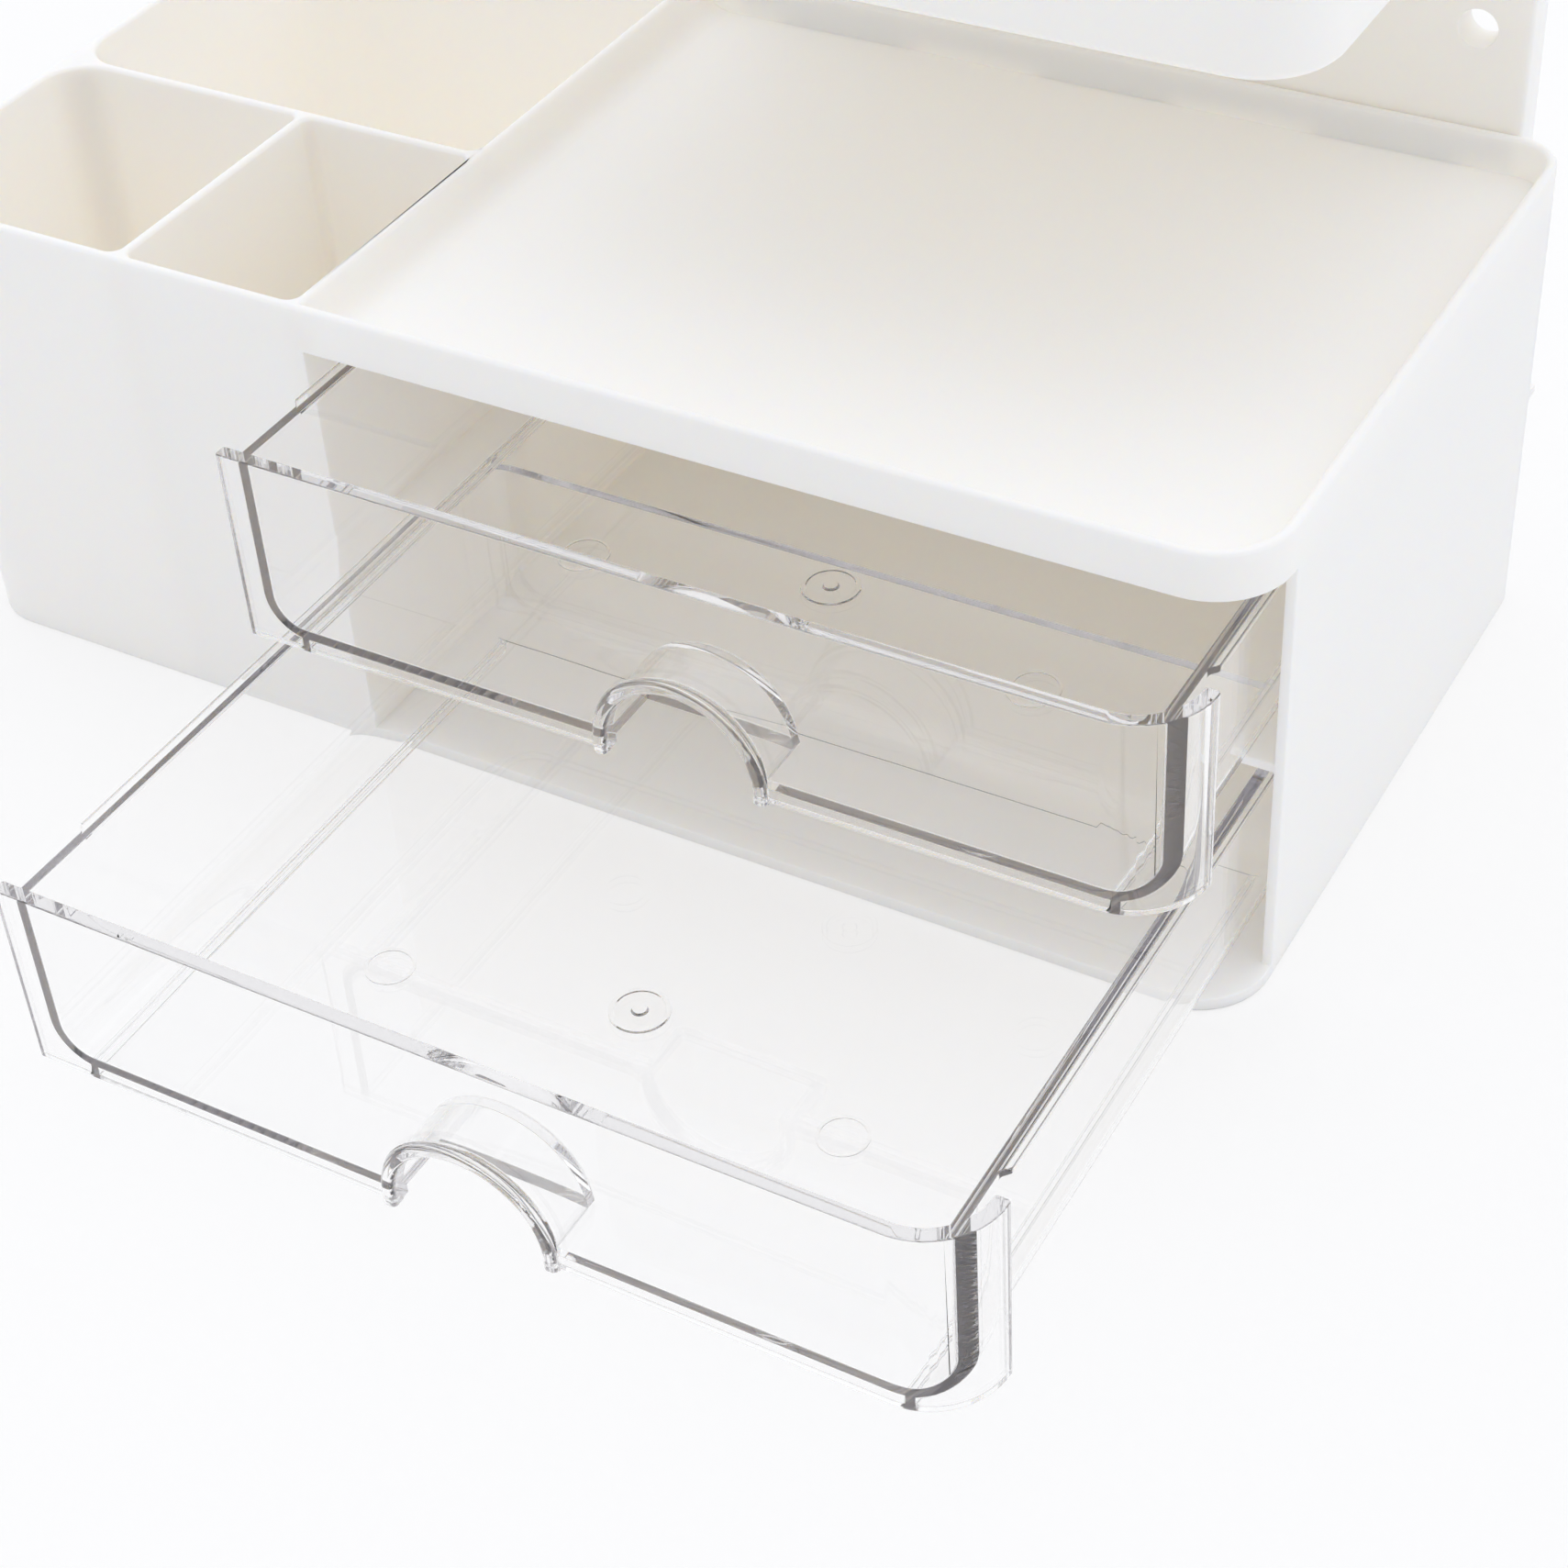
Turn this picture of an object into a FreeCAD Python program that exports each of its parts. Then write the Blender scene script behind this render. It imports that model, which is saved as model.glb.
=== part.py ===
import FreeCAD, Part
import math
import os
import Sketcher
from FreeCAD import Vector

# A desktop pen holder with two clear drawers, in millimetres.
# X runs to the right along the front, Y to the back and Z up.
# The origin is the centre of the case's flat underside.

# Driving dimensions, each written once. A share is a part of the case's width.
SIZES = {
    # Case
    "case_width": 304.2,
    "case_depth": 154.4,
    "case_height": 105.5,
    "wall": 2.1,
    "base_plate": 3.0,
    "front_corner": 15.0,
    "pen_corner": 15.0,
    "rear_corner": 10.0,
    "rim_break": 0.6,
    "case_foot_break": 0.4,
    # Tray on top of the drawers
    "tray_depth": 8.0,
    "tray_floor": 2.0,
    "tray_cove": 6.5,
    # Pen compartments
    "bay_share": 0.6377,
    "pen_right_share": 0.1348,
    "pen_front_depth": 60.5,
    "pen_inner_corner": 2.5,
    "pen_cross_corner": 10.0,
    # Drawer bay
    "corner_opening": 16.0,
    "ledge_setback": 1.0,
    "ledge_thick": 2.0,
    "ledge_cover": 7.0,
    # Drawers, two from one mould
    "front_height": 42.0,
    "front_thick": 3.0,
    "front_lift": 0.5,
    "front_end_gap": 0.6,
    "front_side_gap": 0.5,
    "front_wrap": 15.5,
    "front_end_round": 0.8,
    "tub_depth": 150.5,
    "tub_wall": 2.0,
    "tub_floor": 2.0,
    "tub_inset": 4.4,
    "tub_corner": 7.0,
    "floor_round": 6.5,
    "tub_slant_depth": 5.4,
    "tub_flange": 1.5,
    "flange_taper": 3.0,
    "rib_height": 2.4,
    "rib_width": 1.4,
    "rib_gap": 0.4,
    "running_gap": 0.3,
    "drawer_pitch": 45.3,
    "upper_opening": 30.0,
    "lower_opening": 108.0,
    # Finger pull in each drawer front
    "pull_radius": 15.4,
    "pull_bead": 2.9,
    "pull_bead_out": 1.3,
    "pull_wall": 2.0,
    "pull_depth": 14.0,
    "pull_height": 3.3,
    "bead_foot": 0.2,
    "bead_round": 1.1,
    "tunnel_break": 0.9,
    # Back panel that plugs into the case
    "panel_side_gap": 8.0,
    "panel_top": 226.0,
    "panel_thick": 2.6,
    "panel_rim_depth": 8.0,
    "panel_rim_wall": 2.1,
    "panel_corner": 20.0,
    "panel_overlap": 7.0,
    "panel_gap": 0.2,
    "hole_radius": 4.0,
    "hole_inset": 11.0,
    "hole_rise": 20.5,
    "boss_wall": 2.2,
    "tab_width": 28.0,
    "tab_length": 26.0,
    "tab_spacing": 62.0,
    "socket_floor": 2.0,
    "socket_gap": 0.5,
    # Upper shelf tray that hooks onto the back panel
    "shelf_side_gap": 1.0,
    "shelf_depth": 116.5,
    "shelf_bottom": 170.0,
    "shelf_height": 36.0,
    "shelf_floor": 2.2,
    "shelf_corner": 15.0,
    "shelf_rear_corner": 4.0,
    "shelf_foot_break": 1.2,
    "gusset_inset": 14.0,
    "gusset_length": 45.0,
    "gusset_drop": 30.0,
    "hook_spacing": 110.0,
    "hook_width": 14.0,
    "hook_rise": 8.0,
    "hook_height": 6.0,
    "hook_drop": 6.0,
    "hook_thick": 2.2,
    "hook_gap": 0.3,
}

# Places worked out from the driving dimensions, as formulas of a second sheet
PLACES = {
    # Case outline
    "half_width": "sizes.case_width / 2",
    "half_depth": "sizes.case_depth / 2",
    "case_left": "-half_width",
    "case_front": "-half_depth",
    # Drawer bay and the wall that parts it from the pens
    "bay_right": "half_width - sizes.wall",
    "bay_left": "bay_right - sizes.case_width * sizes.bay_share",
    "bay_back": "half_depth - sizes.wall",
    "bay_top": "sizes.case_height - sizes.tray_depth - sizes.tray_floor",
    "bay_centre": "(bay_left + bay_right) / 2",
    "tray_top": "sizes.case_height - sizes.tray_depth",
    "tray_front_corner": "sizes.front_corner - sizes.wall",
    "tray_rear_corner": "sizes.rear_corner - sizes.wall",
    # Pen compartments
    "pen_right": "bay_left - sizes.wall",
    "pen_left": "-bay_right",
    "pen_outer_corner": "sizes.pen_corner - sizes.wall",
    "divider_right": "pen_right - sizes.case_width * sizes.pen_right_share",
    "divider_left": "divider_right - sizes.wall",
    "inner_front": "-bay_back",
    "cross_front": "inner_front + sizes.pen_front_depth",
    "cross_back": "cross_front + sizes.wall",
    # Drawer, closed, with its lowest point at height 0
    "front_left": "bay_left + sizes.front_end_gap",
    "front_right": "half_width - sizes.front_side_gap",
    "front_top": "sizes.front_lift + sizes.front_height",
    "front_back": "-half_depth + sizes.front_thick",
    "wrap_back": "-half_depth + sizes.front_wrap",
    "tub_left": "front_left + sizes.tub_inset",
    "tub_right": "front_right - sizes.tub_inset",
    "tub_front": "-half_depth + sizes.front_thick / 2",
    "tub_back": "-half_depth + sizes.tub_depth",
    "tub_outer_corner": "sizes.tub_corner + sizes.tub_wall",
    "tub_slant": "tub_front + sizes.tub_slant_depth",
    "cavity_left": "tub_left + sizes.tub_wall",
    "cavity_right": "tub_right - sizes.tub_wall",
    "cavity_back": "tub_back - sizes.tub_wall",
    "flange_front": "wrap_back + sizes.flange_taper",
    "flange_back": "tub_back - tub_outer_corner",
    "shell_radius": "sizes.pull_radius + sizes.pull_wall",
    "bead_radius": "sizes.pull_radius + sizes.pull_bead",
    "finger_foot": "sizes.bead_foot - sizes.pull_wall",
    "pull_back": "-half_depth + sizes.pull_depth + sizes.pull_wall",
    "floor_top": "sizes.rib_height + sizes.tub_floor",
    "lower_height": "sizes.base_plate + sizes.running_gap",
    "upper_height": "lower_height + sizes.drawer_pitch",
    # Ledges under the upper drawer and the guide ribs beside them
    "ledge_top": "upper_height + sizes.rib_height - sizes.running_gap",
    "ledge_front": "-half_depth + sizes.corner_opening + sizes.ledge_setback",
    "ledge_right": "tub_right - sizes.ledge_cover",
    "ledge_left": "tub_left + sizes.ledge_cover",
    "rib_right": "ledge_right - sizes.rib_gap",
    "rib_left": "ledge_left + sizes.rib_gap",
    "pull_centre": "(tub_left + tub_right) / 2",
    # Back panel and its sockets
    "panel_front": "half_depth + sizes.panel_gap",
    "panel_back": "panel_front + sizes.panel_thick",
    "panel_left": "bay_left + sizes.panel_side_gap",
    "panel_right": "bay_right - sizes.panel_side_gap",
    "panel_foot": "sizes.case_height - sizes.panel_overlap",
    "panel_rim_back": "panel_front + sizes.panel_rim_depth",
    "hollow_left": "panel_left + sizes.panel_rim_wall",
    "hollow_right": "panel_right - sizes.panel_rim_wall",
    "hollow_foot": "panel_foot + sizes.panel_rim_wall",
    "hollow_top": "sizes.panel_top - sizes.panel_rim_wall",
    "hollow_corner": "sizes.panel_corner - sizes.panel_rim_wall",
    "tab_foot": "panel_foot - sizes.tab_length",
    "socket_back": "panel_back + sizes.panel_gap",
    "socket_top": "panel_foot - sizes.socket_gap",
    "socket_half": "sizes.tab_width / 2 + sizes.panel_gap",
    "hole_height": "sizes.case_height + sizes.hole_rise",
    # Shelf tray
    "shelf_left": "panel_left + sizes.shelf_side_gap",
    "shelf_right": "panel_right - sizes.shelf_side_gap",
    "shelf_back": "panel_front - sizes.panel_gap / 2",
    "shelf_front": "shelf_back - sizes.shelf_depth",
    "shelf_space_left": "shelf_left + sizes.wall",
    "shelf_space_right": "shelf_right - sizes.wall",
    "shelf_space_front": "shelf_front + sizes.wall",
    "shelf_space_back": "shelf_back - sizes.wall",
    "shelf_inner_corner": "sizes.shelf_corner - sizes.wall",
    "shelf_inner_rear": "sizes.shelf_rear_corner - sizes.wall",
    "shelf_top": "sizes.shelf_bottom + sizes.shelf_height",
    "gusset_right": "shelf_right - sizes.gusset_inset",
    "gusset_left": "shelf_left + sizes.gusset_inset",
    "hook_foot": "sizes.shelf_bottom + sizes.hook_rise",
    "slot_top": "hook_foot + sizes.hook_height + sizes.hook_drop + sizes.hook_gap",
    "hook_front": "panel_back + sizes.panel_gap",
}

# Lengths that differ by less than this are taken as the same
NEAR = 0.01

doc = FreeCAD.newDocument("pen_holder")


def fill_sheet(name, rows):
    """A spreadsheet with one named value a row."""
    sheet = doc.addObject("Spreadsheet::Sheet", name)
    for row, (alias, content) in enumerate(rows, start=1):
        sheet.set("A%d" % row, alias)
        sheet.set("B%d" % row, content)
        sheet.setAlias("B%d" % row, alias)
    doc.recompute()
    return sheet


sizes = fill_sheet("sizes", [(alias, str(number)) for alias, number in SIZES.items()])
places = fill_sheet("places", [(alias, "=" + formula) for alias, formula in PLACES.items()])


def value(alias):
    """The number that a size or a place holds."""
    sheet = sizes if alias in SIZES else places
    return float(getattr(sheet, alias))


def ref(alias):
    """The formula that reads a size or a place."""
    return ("sizes." if alias in SIZES else "places.") + alias


def new_body(label):
    """An empty body named after the piece it will hold."""
    body = doc.addObject("PartDesign::Body", label)
    body.Label = label
    return body


def new_sketch(body, name, plane, offset):
    """An empty sketch on one of the body's own planes, moved along the plane's normal."""
    sketch = body.newObject("Sketcher::SketchObject", name)
    support = next(o for o in body.Origin.OriginFeatures if o.Role == plane)
    sketch.AttachmentSupport = [(support, "")]
    sketch.MapMode = "FlatFace"
    sketch.setExpression("AttachmentOffset.Base.z", offset)
    return sketch


def hold(sketch, kind, first, target, name, formula, start=1.0):
    """A driven dimension of the sketch, tied to a formula."""
    index = sketch.addConstraint(Sketcher.Constraint(kind, *first, *target, start))
    sketch.renameConstraint(index, name)
    sketch.setExpression("Constraints." + name, formula)


def polygon(body, name, plane, offset, corners):
    """A closed sketch of straight lines whose corners are pairs of formulas."""
    sketch = new_sketch(body, name, plane, offset)
    count = len(corners)
    turn = 2 * math.pi / count
    start = [Vector(math.cos(turn * i), math.sin(turn * i), 0) for i in range(count)]
    for i in range(count):
        sketch.addGeometry(Part.LineSegment(start[i], start[(i + 1) % count]))
    for i in range(count):
        sketch.addConstraint(Sketcher.Constraint("Coincident", i, 2, (i + 1) % count, 1))
    for i, (across, along) in enumerate(corners):
        hold(sketch, "DistanceX", (-1, 1), (i, 1), "across_%d" % i, across)
        hold(sketch, "DistanceY", (-1, 1), (i, 1), "along_%d" % i, along)
    doc.recompute()
    return sketch


def rectangle(body, name, plane, offset, left, right, low, high):
    """A rectangle between two pairs of sides."""
    corners = [(left, low), (right, low), (right, high), (left, high)]
    return polygon(body, name, plane, offset, corners)


def rounded_rectangle(body, name, plane, offset, sides, radii):
    """A rectangle from the names of its sides and of its corner radii.

    The sides are left, right, low and high, and the radii go round from the low right
    corner. A radius of None leaves a sharp corner.
    """
    sketch = new_sketch(body, name, plane, offset)
    left, right, low, high = (value(side) for side in sides)
    reach = [value(radius) if radius else 0.0 for radius in radii]
    corners = [Vector(x, y, 0) for x, y in ((right, low), (right, high), (left, high), (left, low))]
    along = [Vector(1, 0, 0), Vector(0, 1, 0), Vector(-1, 0, 0), Vector(0, -1, 0)]
    for i in range(4):
        start = corners[i - 1] + along[i] * reach[i - 1]
        end = corners[i] - along[i] * reach[i]
        sketch.addGeometry(Part.LineSegment(start, end))
    for i in range(4):
        following = (i + 1) % 4
        if radii[i] is None:
            sketch.addConstraint(Sketcher.Constraint("Coincident", i, 2, following, 1))
            continue
        centre = corners[i] - along[i] * reach[i] + along[following] * reach[i]
        round_edge = Part.Circle(centre, Vector(0, 0, 1), reach[i])
        arc = sketch.addGeometry(Part.ArcOfCircle(round_edge, (i - 1) * math.pi / 2, i * math.pi / 2))
        sketch.addConstraint(Sketcher.Constraint("Tangent", i, 2, arc, 1))
        sketch.addConstraint(Sketcher.Constraint("Tangent", arc, 2, following, 1))
        hold(sketch, "Radius", (arc,), (), "radius_%d" % i, ref(radii[i]), reach[i])
    for i, kind in enumerate(("Horizontal", "Vertical", "Horizontal", "Vertical")):
        sketch.addConstraint(Sketcher.Constraint(kind, i))
    hold(sketch, "DistanceX", (-1, 1), (3, 1), "left", ref(sides[0]), left)
    hold(sketch, "DistanceX", (-1, 1), (1, 1), "right", ref(sides[1]), right)
    hold(sketch, "DistanceY", (-1, 1), (0, 1), "low", ref(sides[2]), low)
    hold(sketch, "DistanceY", (-1, 1), (2, 1), "high", ref(sides[3]), high)
    doc.recompute()
    return sketch


def circle(body, name, plane, offset, across, along, radius):
    """A circle with its centre and radius held by formulas."""
    sketch = new_sketch(body, name, plane, offset)
    sketch.addGeometry(Part.Circle(Vector(0, 0, 0), Vector(0, 0, 1), 1))
    hold(sketch, "DistanceX", (-1, 1), (0, 3), "across", across)
    hold(sketch, "DistanceY", (-1, 1), (0, 3), "along", along)
    hold(sketch, "Radius", (0,), (), "radius", radius)
    doc.recompute()
    return sketch


def arch(body, name, offset, radius, foot):
    """A round arch on straight legs seen from the front, centred on the finger pull.

    The radius and the height of its foot are named sizes or places.
    """
    sketch = new_sketch(body, name, "XZ_Plane", offset)
    across, along = value("pull_centre"), value("pull_height")
    reach, low = value(radius), value(foot)
    centre = Vector(across, along, 0)
    left, right = across - reach, across + reach
    half_round = Part.Circle(centre, Vector(0, 0, 1), reach)
    sketch.addGeometry(Part.ArcOfCircle(half_round, 0, math.pi))
    sketch.addGeometry(Part.LineSegment(Vector(left, along, 0), Vector(left, low, 0)))
    sketch.addGeometry(Part.LineSegment(Vector(left, low, 0), Vector(right, low, 0)))
    sketch.addGeometry(Part.LineSegment(Vector(right, low, 0), Vector(right, along, 0)))
    joints = (
        ("Tangent", 0, 2, 1, 1), ("Coincident", 1, 2, 2, 1),
        ("Coincident", 2, 2, 3, 1), ("Tangent", 3, 2, 0, 1),
    )
    for joint in joints:
        sketch.addConstraint(Sketcher.Constraint(*joint))
    for kind, line in (("Vertical", 1), ("Vertical", 3), ("Horizontal", 2)):
        sketch.addConstraint(Sketcher.Constraint(kind, line))
    hold(sketch, "DistanceX", (-1, 1), (0, 3), "across", "places.pull_centre", across)
    hold(sketch, "DistanceY", (-1, 1), (0, 3), "along", "sizes.pull_height", along)
    hold(sketch, "Radius", (0,), (), "radius", ref(radius), reach)
    hold(sketch, "DistanceY", (-1, 1), (2, 1), "foot", ref(foot), low)
    doc.recompute()
    return sketch


def wrapped_outline(body, name, offset):
    """The drawer front seen from above: straight, then bent round the case's right corner."""
    sketch = new_sketch(body, name, "XY_Plane", offset)
    left, right = value("front_left"), value("front_right")
    face, inside, end = value("case_front"), value("front_back"), value("wrap_back")
    radius, thick = value("front_corner"), value("front_thick")
    centre = Vector(right - radius, face + radius, 0)
    upwards = Vector(0, 0, 1)
    quarter = -math.pi / 2
    sketch.addGeometry(Part.LineSegment(Vector(left, face, 0), Vector(centre.x, face, 0)))
    sketch.addGeometry(Part.ArcOfCircle(Part.Circle(centre, upwards, radius), quarter, 0))
    sketch.addGeometry(Part.LineSegment(Vector(right, centre.y, 0), Vector(right, end, 0)))
    sketch.addGeometry(Part.LineSegment(Vector(right, end, 0), Vector(right - thick, end, 0)))
    sketch.addGeometry(Part.LineSegment(Vector(right - thick, end, 0), Vector(right - thick, centre.y, 0)))
    sketch.addGeometry(Part.ArcOfCircle(Part.Circle(centre, upwards, radius - thick), quarter, 0))
    sketch.addGeometry(Part.LineSegment(Vector(centre.x, inside, 0), Vector(left, inside, 0)))
    sketch.addGeometry(Part.LineSegment(Vector(left, inside, 0), Vector(left, face, 0)))
    joints = (
        ("Tangent", 0, 2, 1, 1), ("Tangent", 1, 2, 2, 1),
        ("Coincident", 2, 2, 3, 1), ("Coincident", 3, 2, 4, 1),
        ("Tangent", 4, 2, 5, 2), ("Tangent", 5, 1, 6, 1),
        ("Coincident", 6, 2, 7, 1), ("Coincident", 7, 2, 0, 1),
    )
    for joint in joints:
        sketch.addConstraint(Sketcher.Constraint(*joint))
    for kind, lines in (("Horizontal", (0, 3, 6)), ("Vertical", (2, 4, 7))):
        for line in lines:
            sketch.addConstraint(Sketcher.Constraint(kind, line))
    hold(sketch, "DistanceX", (-1, 1), (7, 1), "left", "places.front_left", left)
    hold(sketch, "DistanceX", (-1, 1), (2, 1), "right", "places.front_right", right)
    hold(sketch, "DistanceX", (-1, 1), (4, 1), "right_inside",
         "places.front_right - sizes.front_thick", right - thick)
    hold(sketch, "DistanceY", (-1, 1), (0, 1), "face", "places.case_front", face)
    hold(sketch, "DistanceY", (-1, 1), (6, 1), "inside", "places.front_back", inside)
    hold(sketch, "DistanceY", (-1, 1), (3, 1), "end", "places.wrap_back", end)
    hold(sketch, "Radius", (1,), (), "radius", "sizes.front_corner", radius)
    hold(sketch, "Radius", (5,), (), "radius_inside",
         "sizes.front_corner - sizes.front_thick", radius - thick)
    doc.recompute()
    return sketch


def extrude(body, kind, name, sketch, length, reverse=False):
    """A Pad or Pocket of the sketch, with its length held by a formula."""
    feature = body.newObject("PartDesign::" + kind, name)
    feature.Profile = sketch
    feature.setExpression("Length", length)
    feature.Reversed = reverse
    doc.recompute()
    body.Tip = feature
    return feature


def pad(body, name, sketch, length, reverse=False):
    """Adds the sketch's outline to the body, drawn out to a length."""
    return extrude(body, "Pad", name, sketch, length, reverse)


def pocket(body, name, sketch, length, reverse=False):
    """Takes the sketch's outline out of the body, down to a length."""
    return extrude(body, "Pocket", name, sketch, length, reverse)


def close(a, b):
    """True where two lengths are the same but for rounding."""
    return abs(a - b) < NEAR


def upright_at(*points):
    """Accepts upright edges at the given places in plan."""
    def wanted(box):
        standing = box.XLength < NEAR and box.YLength < NEAR and box.ZLength > NEAR
        return standing and any(close(box.XMin, x) and close(box.YMin, y) for x, y in points)
    return wanted


def level_at(height):
    """Accepts edges that lie level at the given height."""
    return lambda box: close(box.ZMin, height) and close(box.ZMax, height)


def side_edges(height, left, right):
    """Accepts level edges along both sides and round the back of a drawer's tub."""
    level = level_at(value(height))
    sides = (value(left), value(right))

    def wanted(box):
        along_side = any(close(box.XMin, side) and close(box.XMax, side) for side in sides)
        return level(box) and (along_side or box.YMin > 0)
    return wanted


def dress(body, kind, name, setting, size, wanted):
    """A Fillet or Chamfer of the edges of the body so far that the test accepts."""
    base = body.Tip
    names = ["Edge%d" % i for i, edge in enumerate(base.Shape.Edges, start=1) if wanted(edge.BoundBox)]
    if not names:
        raise ValueError("no edge to soften for " + name)
    feature = body.newObject("PartDesign::" + kind, name)
    feature.Base = (base, names)
    feature.setExpression(setting, size)
    doc.recompute()
    body.Tip = feature
    return feature


def fillet(body, name, radius, wanted):
    """Rounds the edges that the test accepts."""
    return dress(body, "Fillet", name, "Radius", radius, wanted)


def chamfer(body, name, size, wanted):
    """Breaks the edges that the test accepts at a slant."""
    return dress(body, "Chamfer", name, "Size", size, wanted)


def build_case():
    """One moulding: base, walls, pen compartments, tray, drawer bay, ledges and rear sockets."""
    body = new_body("case_body")
    # Solid block with rounded upright corners
    outline = rounded_rectangle(body, "case_outline", "XY_Plane", "0",
                                ("case_left", "half_width", "case_front", "half_depth"),
                                ("front_corner", "rear_corner", "pen_corner", "pen_corner"))
    pad(body, "case_block", outline, "sizes.case_height")
    # Tray over the drawers, with a broad cove beside the pens
    space = rounded_rectangle(body, "tray_outline", "XY_Plane", "sizes.case_height",
                              ("bay_left", "bay_right", "inner_front", "bay_back"),
                              ("tray_front_corner", "tray_rear_corner", None, None))
    pocket(body, "tray_space", space, "sizes.tray_depth")
    # Pen compartments down to the base
    depth = "sizes.case_height - sizes.base_plate"
    inner = "pen_inner_corner"
    outer = "pen_outer_corner"
    cross = "pen_cross_corner"
    compartments = (
        ("pen_front_right",
         ("divider_right", "pen_right", "inner_front", "cross_front"), (inner, inner, inner, inner)),
        ("pen_front_left",
         ("pen_left", "divider_left", "inner_front", "cross_front"), (inner, inner, cross, outer)),
        ("pen_rear",
         ("pen_left", "pen_right", "cross_back", "bay_back"), (inner, inner, outer, cross)),
    )
    for name, sides, radii in compartments:
        outline = rounded_rectangle(body, name + "_outline", "XY_Plane", "sizes.case_height", sides, radii)
        pocket(body, name + "_space", outline, depth)
    # Drawer bay, open at the front and round the front right corner
    front = "places.half_depth"
    mouth = rectangle(body, "bay_outline", "XZ_Plane", front,
                      "places.bay_left", "places.bay_right", "sizes.base_plate", "places.bay_top")
    pocket(body, "bay_space", mouth, "sizes.case_depth - sizes.wall")
    corner = rectangle(body, "bay_corner_outline", "XZ_Plane", front,
                       "places.bay_centre", "places.half_width + sizes.wall",
                       "sizes.base_plate", "places.bay_top")
    pocket(body, "bay_corner_opening", corner, "sizes.corner_opening")
    # Ledges that carry the upper drawer
    ledges = (
        ("ledge_right", "places.ledge_right", "places.bay_right + sizes.wall / 2"),
        ("ledge_left", "places.bay_left - sizes.wall / 2", "places.ledge_left"),
    )
    for name, low, high in ledges:
        outline = rectangle(body, name + "_outline", "XZ_Plane", "-places.ledge_front",
                            low, high, "places.ledge_top - sizes.ledge_thick", "places.ledge_top")
        pad(body, name, outline, "places.bay_back - places.ledge_front + sizes.wall / 2", reverse=True)
    # Sockets on the rear wall for the back panel's tabs
    for name, place in (("left", "- sizes.tab_spacing"), ("middle", ""), ("right", "+ sizes.tab_spacing")):
        middle = "places.bay_centre " + place
        block = rectangle(body, "socket_%s_block_outline" % name, "XY_Plane", "places.socket_top",
                          middle + " - places.socket_half - sizes.wall",
                          middle + " + places.socket_half + sizes.wall",
                          "places.half_depth - sizes.wall / 2", "places.socket_back + sizes.wall")
        pad(body, "socket_%s_block" % name, block,
            "places.socket_top - places.tab_foot + sizes.socket_floor", reverse=True)
        slot = rectangle(body, "socket_%s_slot_outline" % name, "XY_Plane", "places.socket_top",
                         middle + " - places.socket_half", middle + " + places.socket_half",
                         "places.half_depth", "places.socket_back")
        pocket(body, "socket_%s_slot" % name, slot, "places.socket_top - places.tab_foot")
    # Softened rim, tray and foot
    tray_top = value("tray_top")
    bay_left = value("bay_left")
    fillet(body, "tray_floor_cove", "sizes.tray_cove",
           lambda box: level_at(tray_top)(box) and close(box.XMin, bay_left) and close(box.XMax, bay_left))
    chamfer(body, "rim_break", "sizes.rim_break", level_at(value("case_height")))
    chamfer(body, "foot_break", "sizes.case_foot_break", level_at(0.0))
    return body


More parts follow.
